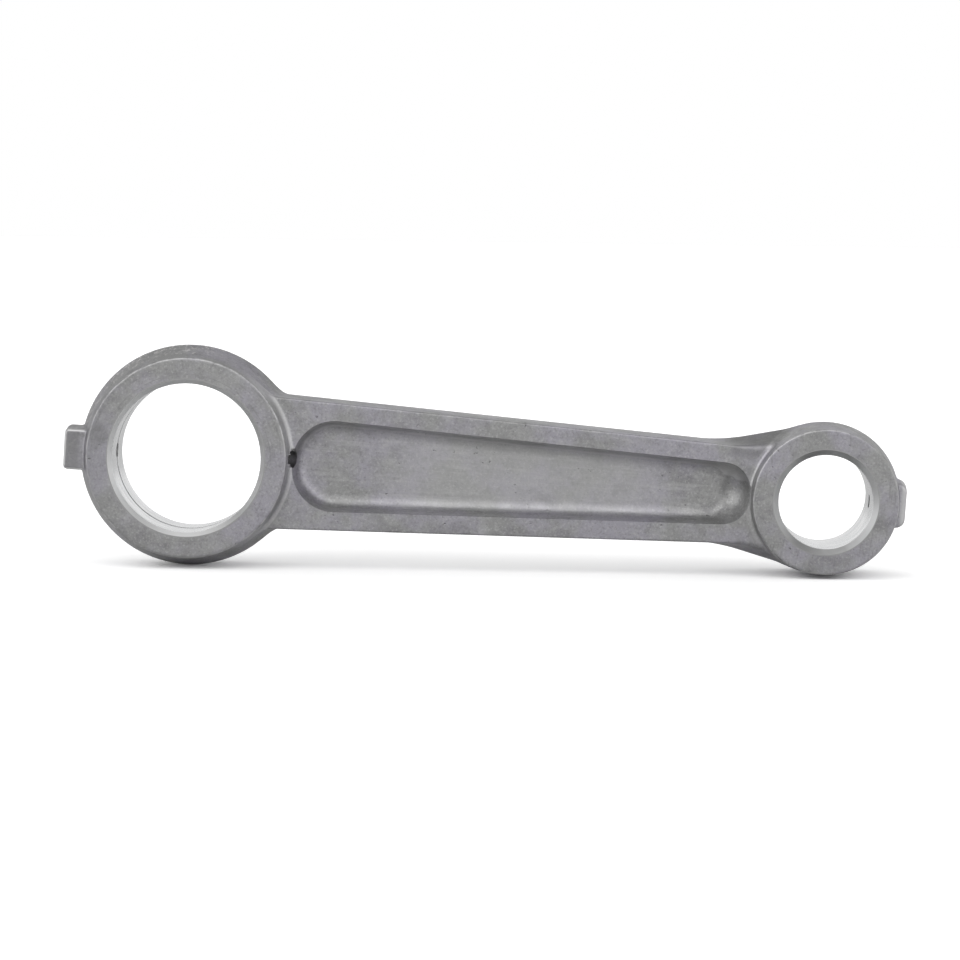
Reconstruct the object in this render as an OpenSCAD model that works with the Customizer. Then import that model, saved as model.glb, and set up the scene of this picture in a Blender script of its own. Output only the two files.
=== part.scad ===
// One-piece connecting rod for a small splash-lubricated engine.
//
// Frame: X runs along the rod from the big end to the small end, Y runs along the two bores and
// +Z is up with the rod standing on edge. The origin is the centre of the big-end bore. The casting
// is parted on its mid-plane, Y = 0, so every outer flank drafts inwards from there to both faces.

/* [Overall] */
// Distance between the two bore axes
center_distance = 150; // [120:1:190]
// Draft of the cast shank, height lost at each edge per millimetre of length
shank_taper = 0.0375; // [0.01:0.0025:0.06]

/* [Big end] */
// Diameter of the crankpin bore
big_bore_d = 35; // [28:0.5:38]
// Diameter of the flat front and back faces
big_face_d = 47; // [45:0.5:50]
// Diameter at the parting line
big_part_d = 52.4; // [51:0.2:56]
// Width along the bore
big_w = 20; // [18:0.5:26]
// Wall of the two pressed bushes
big_bush_wall = 1.25; // [1:0.05:2]
// Lead-in chamfer of the bore
big_chamfer = 1; // [0.3:0.1:1]
// Oil gap between the two bushes
oil_gap = 1.2; // [0.8:0.1:3]

/* [Small end] */
// Diameter of the wrist-pin bore
small_bore_d = 22; // [18:0.5:24]
// Diameter of the flat front and back faces
small_face_d = 34; // [32:0.5:38]
// Diameter at the parting line
small_part_d = 36.2; // [35:0.2:40]
// Width along the bore
small_w = 22; // [18:0.5:28]
// Wall of the pressed bush
small_bush_wall = 1.5; // [1.35:0.05:2]
// Lead-in chamfer of the bore
small_chamfer = 1.3; // [0.3:0.1:1.3]

/* [Shank] */
// Thickness over the flanges
shank_t = 14; // [12:0.5:16]
// Height of the flat flange face at mid length
shank_face_h = 27; // [24:0.2:27.8]
// Height at the parting line at mid length
shank_part_h = 28; // [27.2:0.2:30]
// Thickness of the web between the two recesses
web_t = 4; // [3:0.5:6]
// Height of the recess mouth at mid length
recess_h = 18.5; // [16:0.5:20]
// Distance of the recess middle above the rod axis
recess_rise = 0.15; // [0:0.05:1]
// Start of the recess, measured from the big-end bore axis
recess_start = 24.8; // [24.8:0.1:30]
// End of the recess, measured back from the small-end bore axis
recess_back = 18.3; // [18.2:0.1:24]

/* [Oil feed] */
// Diameter of the oil hole in the big end
big_oil_d = 3.7; // [2:0.1:5]
// Diameter of the oil hole in the small end
small_oil_d = 3.3; // [2:0.1:5]
// Slope of the feed hole that drains the front recess into the big-end bore
feed_angle = 38; // [32:1:42]
// Height of the feed hole above the rod axis
feed_rise = 1.2; // [0:0.1:2]
// Height of the lug on the big end
lug_h = 10.7; // [8:0.1:14]
// Reach of the lug from the big-end bore axis
lug_reach = 29.8; // [27.5:0.1:34]
// Height of the pad on the small end
pad_h = 11.6; // [8:0.1:14]
// Reach of the pad from the small-end bore axis
pad_reach = 19.6; // [19:0.1:24]

/* [Hidden] */

CAST = [0.55, 0.55, 0.57];
BUSH = [0.88, 0.88, 0.86];
$fn = 96;
cut = 1;

mid_x = center_distance / 2;
half_t = shank_t / 2;
big_housing_r = big_bore_d / 2 + big_bush_wall;
small_housing_r = small_bore_d / 2 + small_bush_wall;

flank_draft = (shank_part_h - shank_face_h) / 2;

// Height of the shank at x, for a height given at mid length
function height_at(mid_h, x) = mid_h - 2 * shank_taper * (x - mid_x);

// Neck: straight flare of the shank that ends on the small-end ring, where the two are tangent
neck_angle = 13.7;
neck_start = center_distance - 25;
neck_end = center_distance - small_part_d / 2 * sin(neck_angle);
neck_end_h = small_part_d * cos(neck_angle);
neck_sink = 0.1;

// Shoulder: concave blend from the big-end ring into the shank, sunk a little into both
shoulder_r = 7;
shoulder_sink = 0.05;
shoulder_foot = 22;
shoulder_z = height_at(shank_part_h, shoulder_foot) / 2 + shoulder_r - shoulder_sink;
shoulder_x = sqrt(pow(big_part_d / 2 + shoulder_r - shoulder_sink, 2) - pow(shoulder_z, 2));
shoulder_end = shoulder_x - 0.5;

// Recess: layers of [depth below the flange face, how far the wall has moved in], mouth to floor
recess_depth = (shank_t - web_t) / 2;
recess_layers = [[-1, -0.25], [recess_depth - 2, 0.75], [recess_depth - 0.6, 1.5], [recess_depth, 2.9]];
recess_big_r = 10;
recess_small_r = 6.8;

// Oil lug and pad: thickness along the bore, draft of their faces and radius of their outer edges
lug_t = 13.6;
lug_draft = 0.6;
lug_edge_r = 1.6;
pad_edge_r = 2.6;

// Disc on the bore axis, widest at the parting line and drafted in to both faces
module drafted_disc(part_d, face_d, w) {
    rotate([90, 0, 0])
        rotate_extrude()
            polygon([
                [0, -w / 2],
                [face_d / 2, -w / 2],
                [part_d / 2, 0],
                [face_d / 2, w / 2],
                [0, w / 2]
            ]);
}

// Cylinder along the bore axis
module bore(r, w) {
    rotate([90, 0, 0])
        cylinder(r = r, h = w, center = true);
}

// Thin six-sided slice of the shank at x, highest at the parting line
module shank_slice(x, part_h, face_h) {
    slice_t = 0.01;
    translate([x, 0, 0])
        rotate([90, 0, 90])
            linear_extrude(slice_t)
                polygon([
                    [-half_t, -face_h / 2],
                    [0, -part_h / 2],
                    [half_t, -face_h / 2],
                    [half_t, face_h / 2],
                    [0, part_h / 2],
                    [-half_t, face_h / 2]
                ]);
}

module shank() {
    start = big_bore_d / 2;
    end = center_distance - small_bore_d / 2;
    hull() {
        shank_slice(start, height_at(shank_part_h, start), height_at(shank_face_h, start));
        shank_slice(end, height_at(shank_part_h, end), height_at(shank_face_h, end));
    }
}

module neck() {
    hull() {
        shank_slice(
            neck_start,
            height_at(shank_part_h, neck_start) - neck_sink,
            height_at(shank_face_h, neck_start) - neck_sink
        );
        shank_slice(neck_end, neck_end_h, neck_end_h - 2 * flank_draft);
    }
}

// Concave blends above and below the shank, cut by a roller that is narrow at the parting line
module shoulders() {
    difference() {
        rotate([90, 0, 0])
            linear_extrude(shank_t, center = true)
                polygon([
                    [big_bore_d / 2, -shoulder_z + shoulder_r / 2],
                    [shoulder_end, -shoulder_z + shoulder_r / 2],
                    [shoulder_end, shoulder_z - shoulder_r / 2],
                    [big_bore_d / 2, shoulder_z - shoulder_r / 2]
                ]);
        for (side = [-1, 1])
            translate([shoulder_x, 0, side * shoulder_z])
                rotate([90, 0, 0])
                    rotate_extrude()
                        polygon([
                            [0, -half_t - cut],
                            [shoulder_r + flank_draft * (half_t + cut) / half_t, -half_t - cut],
                            [shoulder_r, 0],
                            [shoulder_r + flank_draft * (half_t + cut) / half_t, half_t + cut],
                            [0, half_t + cut]
                        ]);
    }
}

// Block with rounded upright edges that reaches out along +X and drafts in to both faces
module drafted_block(reach, h, edge_r) {
    layer_t = 0.01;
    hull()
        for (layer = [[-lug_t / 2, lug_draft], [0, 0], [lug_t / 2 - layer_t, lug_draft]])
            for (side = [-1, 1])
                translate([0, layer[0] + layer_t, 0])
                    rotate([90, 0, 0])
                        linear_extrude(layer_t) {
                            translate([reach - edge_r - layer[1], side * (h / 2 - edge_r - layer[1])])
                                circle(r = edge_r, $fn = 32);
                            translate([reach / 2, side * (h / 4 - layer[1] / 2)])
                                square([1, h / 2 - layer[1]], center = true);
                        }
}

// Pocket in the front flange face: straight sides that follow the taper, and rounded ends
module recess() {
    big_x = recess_start + recess_big_r;
    small_x = center_distance - recess_back - recess_small_r;
    big_z = height_at(recess_h, big_x) / 2 - recess_big_r;
    small_z = height_at(recess_h, small_x) / 2 - recess_small_r;
    layer_t = 0.01;
    hull()
        for (layer = recess_layers)
            for (corner = [
                [big_x, big_z, recess_big_r],
                [big_x, -big_z, recess_big_r],
                [small_x, small_z, recess_small_r],
                [small_x, -small_z, recess_small_r]
            ])
                translate([corner[0], -half_t + layer[0], corner[1] + recess_rise])
                    rotate([90, 0, 0])
                        cylinder(r = corner[2] - layer[1], h = layer_t, $fn = 32);
}

// Oil holes in both ends, drilled from outside through the lug and the pad
module oil_holes() {
    translate([-lug_reach - cut, 0, 0])
        rotate([0, 90, 0])
            cylinder(d = big_oil_d, h = lug_reach + cut - big_bore_d / 4);
    translate([center_distance + small_bore_d / 4, 0, 0])
        rotate([0, 90, 0])
            cylinder(d = small_oil_d, h = pad_reach);
    translate([big_bore_d / 2, 0, feed_rise])
        rotate([0, 0, -feed_angle])
            translate([-2 * big_bush_wall, 0, 0])
                rotate([0, 90, 0])
                    cylinder(d = big_oil_d, h = shank_t);
}

module rod_body() {
    color(CAST)
        difference() {
            union() {
                drafted_disc(big_part_d, big_face_d, big_w);
                translate([center_distance, 0, 0])
                    drafted_disc(small_part_d, small_face_d, small_w);
                shank();
                neck();
                shoulders();
                mirror([1, 0, 0])
                    drafted_block(lug_reach, lug_h, lug_edge_r);
                translate([center_distance, 0, 0])
                    drafted_block(pad_reach, pad_h, pad_edge_r);
            }
            for (face = [0, 1])
                mirror([0, face, 0])
                    recess();
            bore(big_housing_r, big_w + cut);
            translate([center_distance, 0, 0])
                bore(small_housing_r, small_w + cut);
            oil_holes();
        }
}

// Half profile of a bush between two places on the bore axis, with a chamfer at either end
module bush(bore_r, wall, from, to, chamfer_from, chamfer_to) {
    rotate([90, 0, 0])
        rotate_extrude()
            polygon([
                [bore_r + chamfer_from, from],
                [bore_r + wall, from],
                [bore_r + wall, to],
                [bore_r + chamfer_to, to],
                [bore_r, to - chamfer_to],
                [bore_r, from + chamfer_from]
            ]);
}

// Front and rear halves of the big-end bearing, either side of the oil gap
module big_end_bush_front() {
    color(BUSH)
        difference() {
            bush(big_bore_d / 2, big_bush_wall, oil_gap / 2, big_w / 2, 0, big_chamfer);
            oil_holes();
        }
}

module big_end_bush_rear() {
    color(BUSH)
        difference() {
            bush(big_bore_d / 2, big_bush_wall, -big_w / 2, -oil_gap / 2, big_chamfer, 0);
            oil_holes();
        }
}

module small_end_bush() {
    color(BUSH)
        difference() {
            translate([center_distance, 0, 0])
                bush(
                    small_bore_d / 2,
                    small_bush_wall,
                    -small_w / 2,
                    small_w / 2,
                    small_chamfer,
                    small_chamfer
                );
            oil_holes();
        }
}

rod_body();
big_end_bush_front();
big_end_bush_rear();
small_end_bush();
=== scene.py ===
"""A one-piece cast connecting rod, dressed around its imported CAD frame.

The casting is one implicit surface: drafted rings, shank, neck, lug and pad melt into each other
with foundry fillets, and the recesses, bores and oil holes are cut from them. It is meshed by
surface nets and replaces the CAD casting. The three bushes are turned pieces of their own.
Lengths are in millimetres inside the casting's formulas and in metres everywhere else.
"""
import math

import bmesh
import bpy
import numpy as np
from mathutils import Matrix, Vector


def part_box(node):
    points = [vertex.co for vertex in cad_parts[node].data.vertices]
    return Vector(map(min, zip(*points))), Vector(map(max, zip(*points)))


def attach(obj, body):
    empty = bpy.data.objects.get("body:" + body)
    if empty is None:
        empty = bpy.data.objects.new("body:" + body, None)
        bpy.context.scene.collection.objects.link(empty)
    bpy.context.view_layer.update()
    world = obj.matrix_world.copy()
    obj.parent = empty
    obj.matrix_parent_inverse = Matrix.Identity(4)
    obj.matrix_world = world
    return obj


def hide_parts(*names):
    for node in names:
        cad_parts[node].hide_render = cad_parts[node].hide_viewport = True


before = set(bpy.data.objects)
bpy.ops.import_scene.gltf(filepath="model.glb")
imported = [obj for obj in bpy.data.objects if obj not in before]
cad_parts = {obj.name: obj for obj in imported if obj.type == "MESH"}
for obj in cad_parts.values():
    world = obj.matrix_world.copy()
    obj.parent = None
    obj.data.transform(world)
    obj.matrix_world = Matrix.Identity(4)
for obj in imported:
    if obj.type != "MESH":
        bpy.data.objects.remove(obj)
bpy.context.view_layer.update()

MM = 0.001

# ---------------------------------------------------------------- dimensions read from the frame
rod_low, rod_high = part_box("rod_body")
big_bush_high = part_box("big_end_bush_rear")[1]
small_bush_low, small_bush_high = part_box("small_end_bush")

CENTRES = (small_bush_low.x + small_bush_high.x) / 2 / MM
BIG_HOUSING_R = big_bush_high.x / MM
SMALL_HOUSING_R = (small_bush_high.x - small_bush_low.x) / 2 / MM
BIG_HALF_W = big_bush_high.y / MM
SMALL_HALF_W = small_bush_high.y / MM
BIG_PART_R = rod_high.z / MM
LUG_REACH = -rod_low.x / MM
PAD_REACH = rod_high.x / MM - CENTRES

# ---------------------------------------------------------------- the casting's own dimensions, mm
BIG_BORE_R = 17.5
SMALL_BORE_R = 11.0
BIG_FACE_R = 23.5
SMALL_FACE_R = 17.0
SMALL_PART_R = 18.1

SHANK_HALF_T = 7.0
SHANK_HALF_H = 14.0
SHANK_TAPER = 0.0375
SHANK_DRAFT = 0.5 / SHANK_HALF_T
WEB_HALF_T = 2.0
MID_X = CENTRES / 2

NECK_START = CENTRES - 25
NECK_END = CENTRES - 4.3
NECK_OVERLAP = 8
NECK_SLOPE = math.tan(math.radians(13.6))
NECK_DRAFT = 0.38

LUG_HALF_H = 5.35
PAD_HALF_H = 5.8
LUG_HALF_T = 6.8
LUG_CORNER_R = 1.6
PAD_CORNER_R = 2.6
LUG_DRAFT = 0.09

# Fillets where two shapes meet, and rounds on outer edges. The neck's edges grow rounder along it
STEP_FILLET = 1.5
SMALL_STEP_FILLET = 0.8
SHOULDER_FILLET = 3.5
NECK_FILLET = 1.6
NECK_RING_FILLET = 1.0
LUG_FILLET = 0.5
EDGE_ROUND = 0.4
LUG_EDGE_ROUND = 0.7
FEED_LIP_ROUND = 0.25
NECK_ROUND_GAIN = 1.8
NECK_ROUND_DELAY = 2
NECK_ROUND_RUN = 14

# Recess: its walls lean back and its foot fillet grows over a short run before the small end
RECESS_HALF_H = 9.25
RECESS_RISE = 0.15
RECESS_START = 24.8
RECESS_END = CENTRES - 17.5
RECESS_BIG_R = 10.0
RECESS_SMALL_R = 6.8
WALL_DRAFT = 0.25
WALL_DRAFT_GAIN = 0.55
WALL_FILLET = 2.6
WALL_FILLET_GAIN = 2.4
SWEEP_BACK = 9
SWEEP_RUN = 6
BOWL_R = (5.2, 8.6, 7.1)
BOWL_BACK = 5.0
BOWL_PROUD = 3
BOWL_FILLET = 0.5
POCKET_PROUD = 0.8

# Bushes and oil holes. The feed hole's span is measured from the bore, along the hole, and the
# pit is its ragged mouth
BIG_CHAMFER = 1.0
SMALL_CHAMFER = 1.3
GAP_CHAMFER = 0.05
OIL_GAP = 1.2
BIG_OIL_R = 1.85
SMALL_OIL_R = 1.65
FEED_ANGLE = math.radians(38)
FEED_RISE = 1.2
FEED_SPAN = (-2.5, 11)
PIT_X = 25.6
PIT_R = (1.9, 2.4, 2.2)
PIT_LIFT = 0.1
PIT_NARROWING = 0.55
PIT_RAGGED = 0.26
PIT_FALLOFF = 1.6

# How far a cutter runs past what it cuts
OVERRUN = 1

# ---------------------------------------------------------------- light
# Each glow has the places along its direction where it starts and is full, and a strength. Those
# that come from a direction of their own have that first
ROOM = 0.46
FRONT = (-0.3, -0.9, 0.31)
BACKDROP = (0.72, 0.98, 0.40)
OVERHEAD = (0.70, 1.0, 0.20)
SIDES = (0.75, 0.98, 0.45)
LEFT = ((-0.80, -0.58, 0.15), 0.80, 0.99, 0.85)
RIGHT = ((0.70, -0.70, 0.15), 0.78, 0.99, 0.50)
KEY = ((-0.22, -0.56, 0.80), 0.78, 0.99, 0.80)

PAPER_FILL = 0.30
PAPER_KEY = ((0, -0.80, 0.60), 0.10, 0.95, 0.5)
PAPER_HORIZON = (0.95, 0.20, 2.0)
PAPER_SEEN = 1.24
PAPER_TOOTH = 0.98
PAPER_MIRRORED = 0.56
FLOOR_HALF = 4.0

# ---------------------------------------------------------------- camera
# In metres and degrees, with the lens and the sensor in millimetres
CAMERA_AIM = (0.06894, 0, -0.001294)
CAMERA_DISTANCE = 0.7559
CAMERA_AZIMUTH = 1.209
CAMERA_ELEVATION = 5.422
CAMERA_ROLL = 3.806
CAMERA_LENS = 119.66
CAMERA_SENSOR = 36

# ---------------------------------------------------------------- metal
# Linear reflectance, as a grey or a colour
SKIN = (0.368, 0.368, 0.366)
SKIN_CLOUD = (0.415, 0.403, 0.448)
MOTTLE_LIGHT = 0.50
MOTTLE_DARK = 0.28
SMUDGE_DARK = (0.24, 0.235, 0.25)
GRAIN_LIGHT = 0.58
GRAIN_DARK = 0.23
STREAK_LIGHT = 0.58
RUBBED_EDGE_HIGHLIGHT = 0.66
STEP_PAINTED_LIGHT = 0.80
TURNED_DARK = 0.26
SCUFFS_AND_GLINTS = (0.72, 0.70, 0.70)
SCRAPED = 0.62
STAINED = 0.24
WEB_MIDDLE_LIGHT = 0.56
DULL_END = 0.27
NECK_PAINTED_SHADE = 0.22
WALL_PAINTED_LIGHT = 0.68
DULL_LUG = 0.24
RUBBED_LUG = 0.72
CLEAN_PAD = 0.66
PORE_DARK = 0.10

BORE_BRIGHT = (0.84, 0.845, 0.85)
BORE_HAZY = (0.72, 0.73, 0.74)
BORE_LINE = 0.38
BUSH_END_GREY = 0.40
# Chamfers, at the top, bottom, left and right of the bore, as a painted reflection of what each
# side faces
BIG_CHAMFER_REFLECTED = (0.60, 0.72, 0.80, 0.54)
SMALL_CHAMFER_REFLECTED = (0.34, 0.42, 0.62, 0.64)

BORE_ROUGH = 0.24
CHAMFER_ROUGHER = 0.22

MESH_PITCH = 0.48


# ---------------------------------------------------------------- shapes
def smooth_min(a, b, k):
    """Union of two fields with a fillet of about radius k where they meet."""
    h = np.maximum(k - np.abs(a - b), 0) / k
    return np.minimum(a, b) - h * h * k / 4


def smooth_max(a, b, k):
    """Intersection of two fields with an edge rounded to about radius k."""
    return -smooth_min(-a, -b, k)


def rounded_box(u, v, half_u, half_v, r):
    """Distance to a rectangle with corners of radius r, centred on the origin."""
    du = np.abs(u) - half_u + r
    dv = np.abs(v) - half_v + r
    outside = np.hypot(np.maximum(du, 0), np.maximum(dv, 0))
    return outside + np.minimum(np.maximum(du, dv), 0) - r


def tapered_slot(x, z):
    """Distance to the recess mouth: straight, tapering sides and a rounded end at either ring."""
    big_x = RECESS_START + RECESS_BIG_R
    small_x = RECESS_END - RECESS_SMALL_R
    side = (np.abs(z) - RECESS_HALF_H + SHANK_TAPER * (x - MID_X)) / math.hypot(1, SHANK_TAPER)
    big_end = slot_end(big_x - x, z, big_x, RECESS_BIG_R)
    small_end = slot_end(x - small_x, z, small_x, RECESS_SMALL_R)
    return np.maximum(side, np.maximum(big_end, small_end))


def slot_end(along, z, at_x, r):
    """Distance past an end of the recess whose corner rounds of radius r are centred at at_x."""
    centre_z = RECESS_HALF_H - SHANK_TAPER * (at_x - MID_X) - r
    over_z = np.maximum(np.abs(z) - centre_z, 0)
    return np.where(along > 0, np.hypot(np.maximum(along, 0), over_z), 0) - r


def casting(x, y, z):
    """The casting before machining as a field in mm, negative inside. x, y and z broadcast."""
    depth = np.abs(y)
    from_big = np.hypot(x, z)
    from_small = np.hypot(x - CENTRES, z)
    height = np.abs(z)

    # Outer flanks: everything drafts in from the parting line at y = 0
    big_flank = from_big - BIG_PART_R + depth * (BIG_PART_R - BIG_FACE_R) / BIG_HALF_W
    small_flank = from_small - SMALL_PART_R + depth * (SMALL_PART_R - SMALL_FACE_R) / SMALL_HALF_W
    shank_side = height - SHANK_HALF_H + SHANK_TAPER * (x - MID_X) + depth * SHANK_DRAFT
    shank_side = np.maximum(shank_side, np.maximum(-x, x - CENTRES))
    neck_half = SHANK_HALF_H - SHANK_TAPER * (NECK_START - MID_X)
    neck_side = height - neck_half - NECK_SLOPE * (x - NECK_START) + depth * NECK_DRAFT
    neck_side = neck_side / math.hypot(1, NECK_SLOPE)
    neck_side = np.maximum(neck_side, np.maximum(NECK_START - NECK_OVERLAP - x, x - NECK_END))
    lug = rounded_box(x + LUG_REACH / 2, z, LUG_REACH / 2, LUG_HALF_H, LUG_CORNER_R)
    lug = lug + depth * LUG_DRAFT
    pad = rounded_box(x - CENTRES - PAD_REACH / 2, z, PAD_REACH / 2, PAD_HALF_H, PAD_CORNER_R)
    pad = pad + depth * LUG_DRAFT

    # Plate level: shank, neck and both ring outlines at the shank's thickness
    plate = smooth_min(shank_side, neck_side, NECK_FILLET)
    plate = smooth_min(plate, big_flank + STEP_FILLET, SHOULDER_FILLET)
    plate = smooth_min(plate, small_flank + STEP_FILLET, NECK_RING_FILLET)
    along_neck = np.clip((x - NECK_START - NECK_ROUND_DELAY) / NECK_ROUND_RUN, 0, 1)
    edge_round = EDGE_ROUND + NECK_ROUND_GAIN * along_neck
    plate = smooth_max(plate, depth - SHANK_HALF_T, edge_round)
    lugs = smooth_max(np.minimum(lug, pad), depth - LUG_HALF_T, LUG_EDGE_ROUND)

    # Ring level: the two bosses stand proud of the plate
    big_boss = smooth_max(big_flank, depth - BIG_HALF_W, EDGE_ROUND)
    small_boss = smooth_max(small_flank, depth - SMALL_HALF_W, EDGE_ROUND)
    solid = smooth_min(plate, big_boss, STEP_FILLET)
    solid = smooth_min(solid, small_boss, SMALL_STEP_FILLET)
    solid = smooth_min(solid, lugs, LUG_FILLET)
    return smooth_max(solid, -feed(x, y, z), FEED_LIP_ROUND)


def pockets(x, y, z):
    """The recess on either face, as a field in mm that is negative in the open space."""
    depth = np.abs(y)
    near_end = np.clip((x - RECESS_END + SWEEP_BACK) / SWEEP_RUN, 0, 1)
    sweep = near_end * near_end * (3 - 2 * near_end)
    draft = WALL_DRAFT + WALL_DRAFT_GAIN * sweep
    walls = tapered_slot(x, z - RECESS_RISE) + draft * (SHANK_HALF_T - depth)
    pocket = smooth_max(walls, WEB_HALF_T - depth, WALL_FILLET + WALL_FILLET_GAIN * sweep)
    bowl = ellipsoid(
        (x - RECESS_END + BOWL_BACK) / BOWL_R[0],
        (depth - SHANK_HALF_T - BOWL_PROUD) / BOWL_R[1],
        (z - RECESS_RISE) / BOWL_R[2],
    )
    pocket = smooth_min(pocket, bowl * BOWL_R[0], BOWL_FILLET)
    return np.maximum(pocket, depth - SHANK_HALF_T - POCKET_PROUD)


def ellipsoid(u, v, w):
    """Field of a unit ball in stretched coordinates, with a soft centre so that it has a slope."""
    return np.sqrt(u ** 2 + v ** 2 + w ** 2 + 1e-6) - 1


def feed(x, y, z):
    """The hole from the front recess to the big-end bore, with its ragged mouth."""
    out = (x - BIG_BORE_R) * math.cos(FEED_ANGLE) - y * math.sin(FEED_ANGLE)
    off = (x - BIG_BORE_R) * math.sin(FEED_ANGLE) + y * math.cos(FEED_ANGLE)
    up = z - FEED_RISE
    hole = np.hypot(off, up) - BIG_OIL_R
    hole = np.maximum(hole, np.maximum(FEED_SPAN[0] - out, out - FEED_SPAN[1]))

    # The mouth is a pit that narrows away from the ring. Crossed waves make its edge uneven
    u = (x - PIT_X) / PIT_R[0]
    v = (y + SHANK_HALF_T) / PIT_R[1]
    w = (up - PIT_LIFT) / (PIT_R[2] - PIT_NARROWING * u)
    ragged = PIT_RAGGED * np.sin(2.9 * x + 4.1 * z) * np.sin(3.7 * z - 1.9 * y + 0.6)
    pit = ellipsoid(u, v, w) + ragged
    return np.minimum(hole, pit * PIT_FALLOFF)


def machining(x, y, z):
    """What is cut from the casting, as a field in mm that is negative in the cut metal."""
    big_seat = np.hypot(x, z) - BIG_HOUSING_R
    small_seat = np.hypot(x - CENTRES, z) - SMALL_HOUSING_R
    off_axis = np.hypot(y, z)
    big_oil = np.maximum(off_axis - BIG_OIL_R, x)
    small_oil = np.maximum(off_axis - SMALL_OIL_R, CENTRES - x)
    return np.minimum(np.minimum(big_seat, small_seat), np.minimum(big_oil, small_oil))


def surface_nets(field, low, high, pitch):
    """Quad mesh of a field's zero surface: one vertex per cell that the surface crosses."""
    grid = [np.arange(a, b + pitch, pitch) for a, b in zip(low, high)]
    value = field(grid[0][:, None, None], grid[1][None, :, None], grid[2][None, None, :])
    inside = value < 0
    corners = [(i, j, k) for i in (0, 1) for j in (0, 1) for k in (0, 1)]

    def at(array, corner):
        return array[tuple(slice(c, n - 1 + c) for c, n in zip(corner, array.shape))]

    count = sum(at(inside, c).astype(np.int8) for c in corners)
    cells = np.argwhere((count > 0) & (count < 8))
    index = np.full(count.shape, -1, np.int32)
    index[tuple(cells.T)] = np.arange(len(cells))

    total = np.zeros((len(cells), 3))
    crossings = np.zeros(len(cells))
    for a in corners:
        for axis in range(3):
            if a[axis]:
                continue
            b = tuple(c + (n == axis) for n, c in enumerate(a))
            va = value[tuple((cells + a).T)]
            vb = value[tuple((cells + b).T)]
            crossed = (va < 0) != (vb < 0)
            share = np.where(crossed, va / np.where(crossed, va - vb, 1), 0)
            point = np.array(a, float) + share[:, None] * (np.array(b) - np.array(a))
            total += point * crossed[:, None]
            crossings += crossed
    points = np.array(low) + (cells + total / crossings[:, None]) * pitch

    quads = []
    for axis in range(3):
        before = [slice(1, -1)] * 3
        after = [slice(1, -1)] * 3
        before[axis] = slice(0, -1)
        after[axis] = slice(1, None)
        first = inside[tuple(before)]
        turn = first != inside[tuple(after)]
        edges = np.argwhere(turn)
        u, v = [n for n in range(3) if n != axis]
        ring = []
        for step_u, step_v in ((0, 0), (1, 0), (1, 1), (0, 1)):
            cell = edges.copy()
            cell[:, u] += step_u
            cell[:, v] += step_v
            ring.append(index[tuple(cell.T)])
        quad = np.stack(ring, 1)
        flip = first[tuple(edges.T)] == (axis == 1)
        quad[flip] = quad[flip][:, ::-1]
        quads.append(quad)
    return points, np.concatenate(quads)


def gradient(field, points, step=0.02):
    """Central-difference gradient of a field at each point."""
    parts = []
    for axis in range(3):
        offset = np.zeros(3)
        offset[axis] = step
        ahead = field(*(points + offset).T)
        behind = field(*(points - offset).T)
        parts.append((ahead - behind) / (2 * step))
    return np.stack(parts, 1)


def settle(field, points, pitch, passes=3, least_steep=0.2):
    """Moves points onto the field's zero surface, in passes of half a cell at the most."""
    for _ in range(passes):
        slope = gradient(field, points)
        steep = np.maximum((slope ** 2).sum(1), least_steep)
        move = slope * (field(*points.T) / steep)[:, None]
        length = np.maximum(np.linalg.norm(move, axis=1), 1e-9)
        points = points - move * np.minimum(1, 0.5 * pitch / length)[:, None]
    return points


def mesh_object(name, points, faces, smooth=True):
    """A mesh object from arrays of points in metres and of faces with equal corner counts."""
    mesh = bpy.data.meshes.new(name)
    corners = faces.shape[1]
    mesh.vertices.add(len(points))
    mesh.vertices.foreach_set("co", np.ascontiguousarray(points, np.float32).ravel())
    mesh.loops.add(faces.size)
    mesh.loops.foreach_set("vertex_index", np.ascontiguousarray(faces, np.int32).ravel())
    mesh.polygons.add(len(faces))
    mesh.polygons.foreach_set("loop_start", np.arange(0, faces.size, corners, dtype=np.int32))
    mesh.polygons.foreach_set("use_smooth", np.full(len(faces), smooth))
    mesh.update(calc_edges=True)
    mesh.validate()
    obj = bpy.data.objects.new(name, mesh)
    bpy.context.scene.collection.objects.link(obj)
    return obj


def revolve(name, profile, centre_x, segments=256, closed=True):
    """A solid turned about the bore axis at centre_x. The profile is [(y, radius), ...] in mm.

    A closed profile joins its end to its start. An open one is capped at both ends.
    """
    if not closed:
        profile = [(profile[0][0], 0), *profile, (profile[-1][0], 0)]
    turn = np.linspace(0, 2 * math.pi, segments, endpoint=False)
    points = np.concatenate([
        np.stack([centre_x + r * np.cos(turn), np.full(segments, y), r * np.sin(turn)], 1)
        for y, r in profile
    ])
    corner = np.arange(segments)
    after = (corner + 1) % segments
    quads = []
    for n in range(len(profile) if closed else len(profile) - 1):
        here, there = n * segments, (n + 1) % len(profile) * segments
        quads.append(np.stack([corner + here, corner + there, after + there, after + here], 1))
    obj = mesh_object(name, points * MM, np.concatenate(quads))
    weld(obj)
    return obj


def turned_bush(name, bore_r, housing_r, ends, chamfers, centre_x):
    """A bush between two places along Y, with a chamfer on the bore at either end, in mm."""
    (start, end), (start_chamfer, end_chamfer) = ends, chamfers
    profile = [
        (start, housing_r),
        (start, bore_r + start_chamfer),
        (start + start_chamfer, bore_r),
        (end - end_chamfer, bore_r),
        (end, bore_r + end_chamfer),
        (end, housing_r),
    ]
    return revolve(name, profile, centre_x)


def weld(obj):
    """Merges the coincident points of a mesh and turns its faces outwards."""
    bm = bmesh.new()
    bm.from_mesh(obj.data)
    bmesh.ops.remove_doubles(bm, verts=bm.verts, dist=1e-7)
    bmesh.ops.recalc_face_normals(bm, faces=bm.faces)
    bm.to_mesh(obj.data)
    bm.free()


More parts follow.
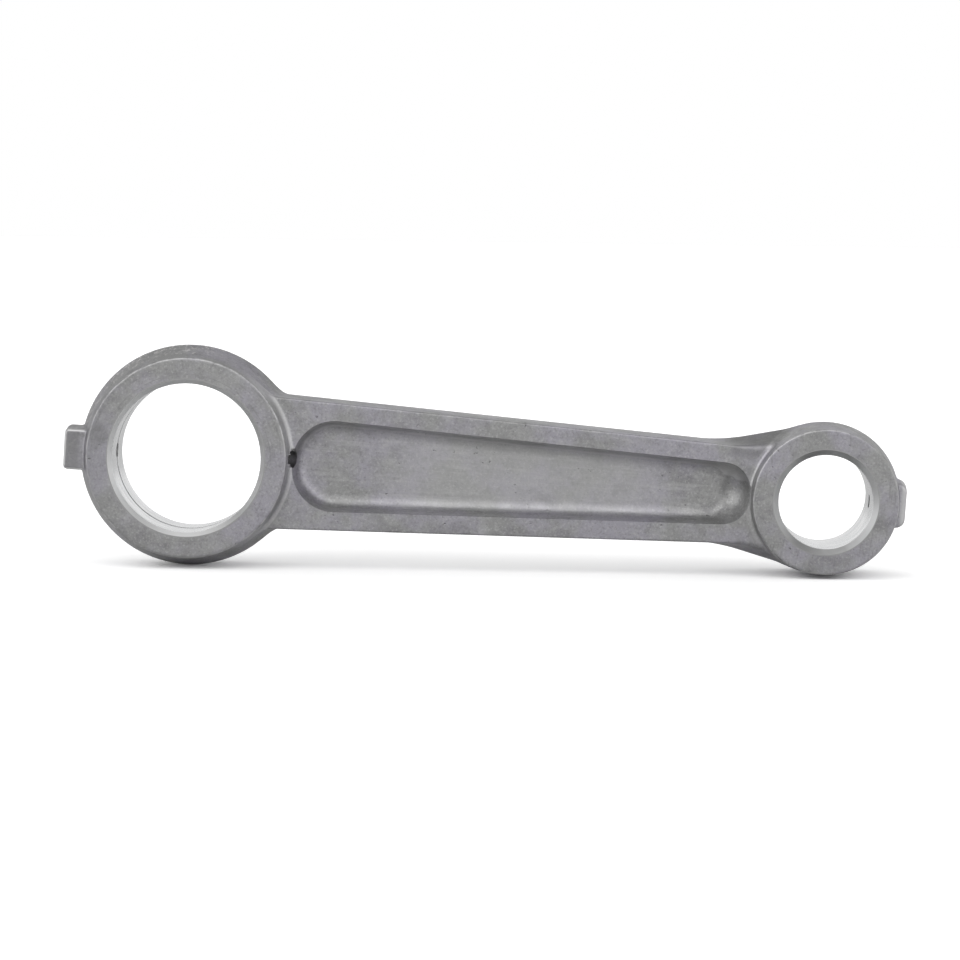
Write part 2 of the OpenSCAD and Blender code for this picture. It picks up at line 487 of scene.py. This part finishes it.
def drill(name, r, start_x, end_x, segments=64):
    """A solid cylinder along X, for an oil hole."""
    obj = revolve(name, [(start_x, r), (end_x, r)], 0, segments, closed=False)
    obj.data.transform(Matrix.Rotation(-math.pi / 2, 4, "Z"))
    return obj


def subtract(obj, cutters):
    """Cuts the cutters from obj for good, and removes them."""
    for cutter in cutters:
        cut = obj.modifiers.new(cutter.name, "BOOLEAN")
        cut.object = cutter
        cut.operation = "DIFFERENCE"
        cut.solver = "MANIFOLD"
    depsgraph = bpy.context.evaluated_depsgraph_get()
    mesh = bpy.data.meshes.new_from_object(obj.evaluated_get(depsgraph))
    obj.modifiers.clear()
    obj.data = mesh
    for cutter in cutters:
        bpy.data.objects.remove(cutter)


def seat_cutter(name, housing_r, half_w, centre_x):
    """A solid cylinder along the bore axis, for the seat of a bush."""
    profile = [(-half_w - OVERRUN, housing_r), (half_w + OVERRUN, housing_r)]
    return revolve(name, profile, centre_x, closed=False)


def read(elements, attribute, width=1, kind=float):
    """Array of an attribute of mesh elements, with a row each if it is wider than one number."""
    values = np.empty(len(elements) * width, kind)
    elements.foreach_get(attribute, values)
    return values.reshape(-1, width) if width > 1 else values


def shade(obj, fields, nudge=0.05, least_facing=0.5):
    """Gives each face corner the true normal of whichever field the face lies on.

    The normal is taken a nudge inside the face, and is the face's own where they disagree.
    """
    mesh = obj.data
    corner = read(mesh.vertices, "co", 3)[read(mesh.loops, "vertex_index", kind=np.int32)] / MM
    centre = read(mesh.polygons, "center", 3) / MM
    corner_count = read(mesh.polygons, "loop_total", kind=np.int32)
    face_of = np.repeat(np.arange(len(corner_count)), corner_count)
    face_normal = read(mesh.polygons, "normal", 3)[face_of]
    miss = np.stack([np.abs(field(*centre.T)) for field in fields])
    owner = miss.argmin(0)[face_of]
    inward = (centre[face_of] - corner) * nudge
    normal = np.zeros_like(corner)
    for n, field in enumerate(fields):
        mine = owner == n
        normal[mine] = gradient(field, (corner + inward)[mine])
    normal /= np.maximum(np.linalg.norm(normal, axis=1), 1e-9)[:, None]
    facing = (normal * face_normal).sum(1)
    normal[facing < 0] *= -1
    astray = np.abs(facing) < least_facing
    normal[astray] = face_normal[astray]
    mesh.polygons.foreach_set("use_smooth", np.full(len(mesh.polygons), True))
    mesh.normals_split_custom_set(normal)


def field_object(name, field, low, high, pitch):
    """A mesh object of a field's zero surface between two corners in mm."""
    points, quads = surface_nets(field, low, high, pitch)
    return mesh_object(name, settle(field, points, pitch) * MM, quads)


def make_casting():
    """The casting, with its recesses, bush seats and oil holes cut out."""
    margin = 1.5 * MESH_PITCH
    low = [v / MM - margin for v in rod_low]
    high = [v / MM + margin for v in rod_high]
    obj = field_object("casting", casting, low, high, MESH_PITCH)
    pocket_low = (RECESS_START - 2, -SHANK_HALF_T - 1.5, -RECESS_HALF_H - 3)
    pocket_high = (RECESS_END + 2, SHANK_HALF_T + 1.5, RECESS_HALF_H + 3)
    subtract(obj, [
        field_object("pockets", pockets, pocket_low, pocket_high, MESH_PITCH),
        seat_cutter("big_seat", BIG_HOUSING_R, BIG_HALF_W, 0),
        seat_cutter("small_seat", SMALL_HOUSING_R, SMALL_HALF_W, CENTRES),
        drill("big_oil", BIG_OIL_R, -LUG_REACH - OVERRUN, -OVERRUN),
        drill("small_oil", SMALL_OIL_R, CENTRES + OVERRUN, CENTRES + PAD_REACH + OVERRUN),
    ])
    shade(obj, [casting, pockets, machining])
    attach(obj, "root")
    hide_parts("rod_body")
    return obj


def make_bush(node, centre_x, ends, chamfers, mat):
    """The turned piece that stands for one of the CAD's bushes, with its oil holes."""
    big = centre_x == 0
    bore_r = BIG_BORE_R if big else SMALL_BORE_R
    housing_r = BIG_HOUSING_R if big else SMALL_HOUSING_R
    obj = turned_bush(node + "_turned", bore_r, housing_r, ends, chamfers, centre_x)
    if big:
        feed_hole = drill("feed_hole", BIG_OIL_R, *FEED_SPAN)
        feed_hole.data.transform(
            Matrix.Translation((BIG_BORE_R * MM, 0, FEED_RISE * MM))
            @ Matrix.Rotation(-FEED_ANGLE, 4, "Z")
        )
        subtract(obj, [drill("big_oil", BIG_OIL_R, -LUG_REACH, -OVERRUN), feed_hole])
    else:
        small_oil = drill("small_oil", SMALL_OIL_R, CENTRES + OVERRUN, CENTRES + PAD_REACH)
        subtract(obj, [small_oil])
    obj.data.set_sharp_from_angle(angle=math.radians(25))
    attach(obj, "root")
    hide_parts(node)
    dress(obj, mat)


# ---------------------------------------------------------------- materials
class Shader:
    """The node tree of one material. Sockets or plain numbers go in, and a socket comes out."""

    def __init__(self, name):
        self.material = bpy.data.materials.new(name)
        self.material.use_nodes = True
        self.tree = self.material.node_tree
        self.surface = self.tree.nodes["Principled BSDF"]

    def node(self, kind, *inputs, **settings):
        node = self.tree.nodes.new("ShaderNode" + kind)
        for key, value in settings.items():
            setattr(node, key, value)
        for n, value in enumerate(inputs):
            self.feed(node.inputs[n], value)
        return node

    def feed(self, socket, value):
        if isinstance(value, bpy.types.NodeSocket):
            self.tree.links.new(value, socket)
        elif value is not None:
            socket.default_value = value

    def math(self, operation, *inputs):
        return self.node("Math", *inputs, operation=operation).outputs[0]

    def times(self, *factors):
        """Product of masks and numbers."""
        total, *others = factors
        for factor in others:
            total = self.math("MULTIPLY", total, factor)
        return total

    def off(self, value, middle):
        """How far value is from middle, either way."""
        return self.math("ABSOLUTE", self.math("SUBTRACT", value, middle))

    def fade(self, value, start, end, low=0.0, high=1.0):
        """Maps value from start..end to low..high with soft, clamped ends."""
        node = self.node(
            "MapRange", value, start, end, low, high, interpolation_type="SMOOTHSTEP"
        )
        return node.outputs[0]

    def band(self, value, low, high, soft):
        """Is 1 where value lies from low to high, and fades to 0 over soft on either side."""
        return self.times(self.fade(value, low - soft, low), self.fade(value, high + soft, high))

    def place(self, stretch=(1, 1, 1)):
        """The place on the piece in mm, divided by stretch along each axis."""
        at = self.node("TexCoord").outputs["Object"]
        scale = tuple(1 / MM / s for s in stretch)
        return self.node("VectorMath", at, scale, operation="MULTIPLY").outputs[0]

    def noise(self, size, detail=2.0, rough=0.5, stretch=(1, 1, 1), seed=0.0):
        """Noise from 0 to 1 with features of about size mm, longer along a stretched axis."""
        node = self.node("TexNoise", noise_dimensions="4D")
        self.feed(node.inputs["Vector"], self.place(stretch))
        self.feed(node.inputs["W"], seed)
        self.feed(node.inputs["Scale"], 1 / size)
        self.feed(node.inputs["Detail"], detail)
        self.feed(node.inputs["Roughness"], rough)
        return node.outputs["Fac"]

    def radius(self, at, centre_x):
        """Distance in mm from the bore axis at centre_x, for a split place."""
        across = self.math("SUBTRACT", at["X"], centre_x)
        squares = self.math("MULTIPLY", across, across)
        squares = self.math("ADD", squares, self.math("MULTIPLY", at["Z"], at["Z"]))
        return self.math("SQRT", squares)

    def mix(self, amount, first, second):
        """Blends two colours."""
        node = self.node("Mix", data_type="RGBA")
        self.feed(node.inputs[0], amount)
        self.feed(node.inputs[6], rgba(first))
        self.feed(node.inputs[7], rgba(second))
        return node.outputs[2]

    def tint(self, color, shade, strength, *masks):
        """Lays a shade over a color wherever every mask is 1, at a strength from 0 to 1."""
        return self.mix(self.times(*masks, strength), color, shade)

    def bump(self, height, distance_mm, under=None):
        """A normal from a height of 0 to 1 that stands for distance_mm, on top of another."""
        node = self.node("Bump")
        self.feed(node.inputs["Height"], height)
        self.feed(node.inputs["Strength"], 1.0)
        self.feed(node.inputs["Distance"], distance_mm * MM)
        self.feed(node.inputs["Normal"], under)
        return node.outputs[0]

    def metal(self, color, rough, normal):
        """Gives the material the surface of a bare metal, and returns it."""
        self.feed(self.surface.inputs["Base Color"], color)
        self.feed(self.surface.inputs["Roughness"], rough)
        self.feed(self.surface.inputs["Normal"], normal)
        self.surface.inputs["Metallic"].default_value = 1.0
        return self.material


def rgba(color):
    """A grey or a colour as a socket's value. A socket stays as it is."""
    if isinstance(color, bpy.types.NodeSocket):
        return color
    if isinstance(color, (int, float)):
        color = (color, color, color)
    return (*color, 1)


def cast_aluminium():
    """Die-cast aluminium: a dull, mottled grey skin, rubbed, scuffed or stained in places.

    Each tint lies over those before it: first the whole skin's, then those of one region each.
    Some tints are painted light and shade: highlights on the ring edges, glints on the big flank,
    light on the ring steps and the upper recess wall, and shade on the neck.
    """
    s = Shader("cast_aluminium")
    at = s.node("SeparateXYZ", s.place()).outputs
    depth = s.math("ABSOLUTE", at["Y"])
    height = s.math("ABSOLUTE", at["Z"])
    big_radius = s.radius(at, 0)
    small_radius = s.radius(at, CENTRES)
    flank = s.fade(depth, SHANK_HALF_T - 0.05, SHANK_HALF_T - 0.5)
    broken = s.fade(s.noise(2.5, 3, 0.6, seed=32), 0.36, 0.56)

    # Skin: broad violet clouds, then mottle, smudges and a fine grain
    cloud = s.fade(s.noise(13, 4, 0.6), 0.40, 0.60)
    color = s.mix(cloud, SKIN, SKIN_CLOUD)
    mottle = s.noise(3.0, 6, 0.7, seed=3)
    color = s.tint(color, MOTTLE_LIGHT, 0.45, s.fade(mottle, 0.50, 0.66))
    color = s.tint(color, MOTTLE_DARK, 0.45, s.fade(mottle, 0.48, 0.34))
    smudge = s.fade(s.noise(4.5, 5, 0.65, stretch=(1.6, 1, 1), seed=51), 0.52, 0.66)
    color = s.tint(color, SMUDGE_DARK, 0.45, smudge)
    grain = s.noise(0.55, 3, 0.7, seed=5)
    color = s.tint(color, GRAIN_LIGHT, 0.5, s.fade(grain, 0.53, 0.66))
    color = s.tint(color, GRAIN_DARK, 0.5, s.fade(grain, 0.47, 0.33))

    # Flow streaks on the outer flanks, along the rod
    streak = s.fade(s.noise(0.7, 3, 0.6, stretch=(14, 1, 1), seed=8), 0.50, 0.66)
    color = s.tint(color, STREAK_LIGHT, 0.3, streak, flank)

    # Both rings: face edges rubbed bright in places, which also paints the thin highlight along
    # them, and painted light on the shaded step down to the shank
    toward_small = s.fade(at["X"], 10, 18)
    toward_big = s.fade(at["X"], CENTRES - 6, CENTRES - 12)
    for radius, face_r, half_w, shank_side, step_light in (
        (big_radius, BIG_FACE_R, BIG_HALF_W, toward_small, 0.42),
        (small_radius, SMALL_FACE_R, SMALL_HALF_W, toward_big, 0.12),
    ):
        # Rubbed bright edge, and also a painted highlight along the face's rim
        edge = s.fade(s.off(radius, face_r - 0.05), 0.24, 0.06)
        near_face = s.fade(depth, half_w - 0.8, half_w - 0.4)
        color = s.tint(color, RUBBED_EDGE_HIGHLIGHT, 0.75, edge, broken, near_face)
        # Painted light on the step down to the shank, which would otherwise lie in shade
        step = s.band(radius, face_r + 0.2, face_r + 1.4, 0.5)
        above_shank = s.band(depth, SHANK_HALF_T - 0.2, half_w - 0.5, 0.4)
        color = s.tint(color, STEP_PAINTED_LIGHT, step_light, step, shank_side, above_shank)

    # Big ring: a few turning lines on its face, and scuffs on the upper left of its outer flank,
    # which also paint glints where the flank faces the light
    lines = s.node("CombineXYZ", big_radius, s.times(at["Z"], 0.08)).outputs[0]
    lines = s.node("TexNoise", lines, noise_dimensions="3D")
    s.feed(lines.inputs["Scale"], 1.8)
    turned = s.fade(lines.outputs["Fac"], 0.58, 0.66)
    on_face = s.fade(depth, BIG_HALF_W - 0.3, BIG_HALF_W - 0.1)
    color = s.tint(color, TURNED_DARK, 0.5, turned, broken, on_face)
    # Scuffs and painted glints, only on the upper left, the side facing the light
    fleck = s.fade(s.noise(0.8, 4, 0.7, stretch=(1, 2.2, 1), seed=33), 0.52, 0.61)
    upper_left = s.fade(s.math("SUBTRACT", at["Z"], at["X"]), 16, 26)
    color = s.tint(color, SCUFFS_AND_GLINTS, 0.8, fleck, upper_left, flank)

    # Parting line: the flash round the outer flanks was scraped off, here and there down to metal
    color = s.tint(color, SCRAPED, 0.5, s.fade(depth, 0.45, 0.2), broken)

    # An oily stain on the big face beside the lug
    off_stain = s.math("ADD", s.off(at["X"], -BIG_FACE_R + 2.5), s.off(at["Z"], 4.5))
    patchy = s.fade(mottle, 0.35, 0.6, 1.0, 0.5)
    near_face = s.fade(depth, BIG_HALF_W - 0.6, BIG_HALF_W - 0.2)
    color = s.tint(color, STAINED, 0.75, s.fade(off_stain, 5.5, 1.5), patchy, near_face)

    # The web lighter along the middle of its length, a duller outer end, painted shade on top of
    # the neck, and painted light on the wall under the upper flange, which faces down into shade
    mid_length = s.fade(s.off(at["X"], MID_X + 5), 40, 22)
    # The web is lighter along the middle of its length
    color = s.tint(color, WEB_MIDDLE_LIGHT, 0.38, mid_length, s.fade(depth, 4.0, 2.6))
    color = s.tint(color, DULL_END, 0.35, s.fade(at["X"], -16, -23))
    # Painted shade over the top of the neck, by the small ring
    neck = s.fade(at["X"], NECK_START, NECK_START + 4)
    off_ring = s.fade(small_radius, SMALL_PART_R + 0.3, SMALL_PART_R + 0.7)
    color = s.tint(color, NECK_PAINTED_SHADE, 0.55, neck, s.fade(at["Z"], 8, 10), off_ring)
    # Painted light on the wall under the upper flange, which faces down into shade
    between_ends = s.band(at["X"], RECESS_START + 3, RECESS_END - 3, 3)
    wall = s.times(s.band(depth, 3.0, 6.5, 0.4), s.band(at["Z"], 3.5, 11.0, 0.6), between_ends)
    color = s.tint(color, WALL_PAINTED_LIGHT, 0.6, wall)

    # The lug is duller than the rest, with rubbed edges, and the pad is cleaner
    color = s.tint(color, DULL_LUG, 0.5, s.fade(at["X"], -25.2, -26.2))
    outline = s.math("MAXIMUM", height, s.math("SUBTRACT", LUG_HALF_H - LUG_REACH, at["X"]))
    lug_edge = s.fade(s.off(outline, LUG_HALF_H - 0.75), 0.4, 0.1)
    on_side = s.fade(depth, LUG_HALF_T - 0.9, LUG_HALF_T - 0.5)
    color = s.tint(color, RUBBED_LUG, 0.8, lug_edge, s.fade(at["X"], -24, -25), on_side)
    color = s.tint(color, CLEAN_PAD, 0.8, s.fade(at["X"], CENTRES + 17.4, CENTRES + 18.2))

    # Pores and dark specks, in clusters
    cluster = s.fade(s.noise(9, 2, 0.5, seed=11), 0.50, 0.60)
    speck = s.times(s.fade(s.noise(1.1, 2, 0.5, seed=12), 0.64, 0.76), cluster)
    color = s.tint(color, PORE_DARK, 0.55, speck)

    rough = s.fade(s.noise(5, 4, 0.6, seed=14), 0.35, 0.65, 0.40, 0.52)
    rough = s.math("ADD", rough, s.times(speck, 0.2))
    normal = s.bump(s.noise(3.5, 2, 0.5, seed=16), 0.10)
    normal = s.bump(grain, 0.03, under=normal)
    normal = s.bump(s.math("SUBTRACT", 1.0, speck), 0.10, under=normal)
    return s.metal(color, rough, normal)


def bored_metal(name, centre_x, bore_r, chamfer, chamfer_reflected):
    """Bearing metal: a bright, finely turned bore with a duller chamfer and end faces. The
    chamfer's grey changes round the bore as a painted reflection.
    """
    s = Shader(name)
    at = s.node("SeparateXYZ", s.place()).outputs
    radius = s.radius(at, centre_x)
    outside = s.fade(radius, bore_r + 0.03, bore_r + 0.12)
    rim = s.fade(radius, bore_r + chamfer - 0.05, bore_r + chamfer + 0.05)

    turning = s.noise(0.16, 3, 0.6, stretch=(30, 1, 30), seed=20)
    haze = s.fade(s.noise(7, 3, 0.6, stretch=(1, 0.5, 1), seed=22), 0.36, 0.64)
    bright = s.mix(haze, BORE_BRIGHT, BORE_HAZY)
    bright = s.tint(bright, BORE_LINE, 0.25, s.fade(turning, 0.55, 0.70))

    # The chamfer's grey differs on each side, a painted reflection of what it faces there
    sideways = s.math("SUBTRACT", at["X"], centre_x)
    top_reflected, bottom_reflected, left_reflected, right_reflected = chamfer_reflected
    cut = s.mix(s.fade(at["Z"], 0.3 * bore_r, -0.3 * bore_r), top_reflected, bottom_reflected)
    cut = s.mix(s.fade(sideways, -0.45 * bore_r, -0.85 * bore_r), cut, left_reflected)
    cut = s.mix(s.fade(sideways, 0.45 * bore_r, 0.85 * bore_r), cut, right_reflected)
    cut = s.tint(cut, BORE_HAZY, 0.3, s.fade(s.noise(9, 3, 0.6, seed=25), 0.40, 0.60))

    color = s.mix(rim, s.mix(outside, bright, cut), BUSH_END_GREY)
    rough = s.math("ADD", BORE_ROUGH, s.times(outside, CHAMFER_ROUGHER))
    return s.metal(color, rough, s.bump(turning, 0.006))


def white_paper():
    """White paper with a faint tooth, exposed past white in the picture but not in the metal."""
    s = Shader("white_paper")
    s.tree.nodes.remove(s.surface)
    tooth = s.fade(s.noise(1.5, 3, 0.6, seed=40), 0.3, 0.7)
    seen = s.node("BsdfDiffuse", s.mix(tooth, PAPER_SEEN * PAPER_TOOTH, PAPER_SEEN))
    mirrored = s.node("BsdfDiffuse", rgba(PAPER_MIRRORED))
    by_camera = s.node("LightPath").outputs["Is Camera Ray"]
    shader = s.node("MixShader", by_camera, mirrored.outputs[0], seen.outputs[0])
    s.feed(s.tree.nodes["Material Output"].inputs["Surface"], shader.outputs[0])
    return s.material


def dress(obj, mat):
    """Makes mat the only material of obj."""
    obj.data.materials.clear()
    obj.data.materials.append(mat)


# ---------------------------------------------------------------- stage
def floor_tilt():
    """Angle of the line under both ends, which the rod stands on."""
    return math.asin((BIG_PART_R - SMALL_PART_R) / CENTRES)


def make_floor():
    """The sheet of paper that the rod stands on."""
    outline = ((-1, -1, 0), (1, -1, 0), (1, 1, 0), (-1, 1, 0))
    points = FLOOR_HALF * np.array(outline)
    obj = mesh_object("floor", points, np.array([[0, 1, 2, 3]]), smooth=False)
    tilt = floor_tilt()
    obj.rotation_euler = (0, -tilt, 0)
    obj.location = (0, 0, -BIG_PART_R * MM / math.cos(tilt))
    dress(obj, white_paper())


def make_light():
    """A soft studio: what the metal mirrors, what lights the paper, and a plain white backdrop.

    The metal mirrors a dim room with brighter patches behind, overhead, on both sides and in
    front. The paper is lit mostly from low all round, so that shadows stay soft and close.
    """
    world = bpy.data.worlds.new("studio")
    world.use_nodes = True
    bpy.context.scene.world = world
    nodes = world.node_tree.nodes
    links = world.node_tree.links

    def node(kind, *inputs, **settings):
        new = nodes.new("ShaderNode" + kind)
        for key, value in settings.items():
            setattr(new, key, value)
        for socket, value in zip(new.inputs, inputs):
            if isinstance(value, bpy.types.NodeSocket):
                links.new(value, socket)
            else:
                socket.default_value = value
        return new

    def glow(along, start, end, amount):
        ramp = node("MapRange", along, start, end, 0, amount, interpolation_type="SMOOTHSTEP")
        return ramp.outputs[0]

    def background(base, *parts):
        total = base
        for part in parts:
            total = node("Math", total, part, operation="ADD").outputs[0]
        return node("Background", (1, 1, 1, 1), total).outputs[0]

    toward = nodes.new("ShaderNodeTexCoord").outputs["Generated"]
    axes = node("SeparateXYZ", toward).outputs
    sideways = node("Math", axes["X"], operation="ABSOLUTE").outputs[0]

    def glow_from(way, start, end, amount):
        along = node("VectorMath", toward, way, operation="DOT_PRODUCT").outputs["Value"]
        return glow(along, start, end, amount)

    studio = background(
        ROOM,
        glow(axes["Y"], *FRONT),
        glow(axes["Y"], *BACKDROP),
        glow(axes["Z"], *OVERHEAD),
        glow(sideways, *SIDES),
        glow_from(*LEFT),
        glow_from(*RIGHT),
        glow_from(*KEY),
    )
    on_paper = background(
        PAPER_FILL,
        glow_from(*PAPER_KEY),
        glow(axes["Z"], *PAPER_HORIZON),
    )
    white = background(1.0)
    rays = nodes.new("ShaderNodeLightPath").outputs
    lit = node("MixShader", rays["Is Diffuse Ray"], studio, on_paper).outputs[0]
    seen = node("MixShader", rays["Is Camera Ray"], lit, white).outputs[0]
    links.new(seen, nodes["World Output"].inputs["Surface"])


def make_camera():
    """A nearly level view of the front from a little above, with a slight roll."""
    azimuth, elevation = math.radians(CAMERA_AZIMUTH), math.radians(CAMERA_ELEVATION)
    back = Vector((
        math.sin(azimuth) * math.cos(elevation),
        -math.cos(azimuth) * math.cos(elevation),
        math.sin(elevation),
    ))
    data = bpy.data.cameras.new("camera")
    data.sensor_width = CAMERA_SENSOR
    data.lens = CAMERA_LENS
    data.clip_start = 0.01
    data.clip_end = 50
    obj = bpy.data.objects.new("camera", data)
    turn = (-back).to_track_quat("-Z", "Y").to_matrix()
    roll = Matrix.Rotation(math.radians(CAMERA_ROLL), 3, "Z")
    spot = Vector(CAMERA_AIM) + back * CAMERA_DISTANCE
    obj.matrix_world = Matrix.Translation(spot) @ (turn @ roll).to_4x4()
    bpy.context.scene.collection.objects.link(obj)
    bpy.context.scene.camera = obj


make_camera()
make_floor()
make_light()
rod = make_casting()
dress(rod, cast_aluminium())
big_metal = bored_metal("big_bush_metal", 0.0, BIG_BORE_R, BIG_CHAMFER, BIG_CHAMFER_REFLECTED)
small_metal = bored_metal(
    "small_bush_metal", CENTRES, SMALL_BORE_R, SMALL_CHAMFER, SMALL_CHAMFER_REFLECTED
)
front_half = (-BIG_HALF_W, -OIL_GAP / 2)
rear_half = (OIL_GAP / 2, BIG_HALF_W)
whole = (-SMALL_HALF_W, SMALL_HALF_W)
make_bush("big_end_bush_front", 0.0, front_half, (BIG_CHAMFER, GAP_CHAMFER), big_metal)
make_bush("big_end_bush_rear", 0.0, rear_half, (GAP_CHAMFER, BIG_CHAMFER), big_metal)
make_bush("small_end_bush", CENTRES, whole, (SMALL_CHAMFER, SMALL_CHAMFER), small_metal)
bpy.context.scene.view_settings.view_transform = "Standard"
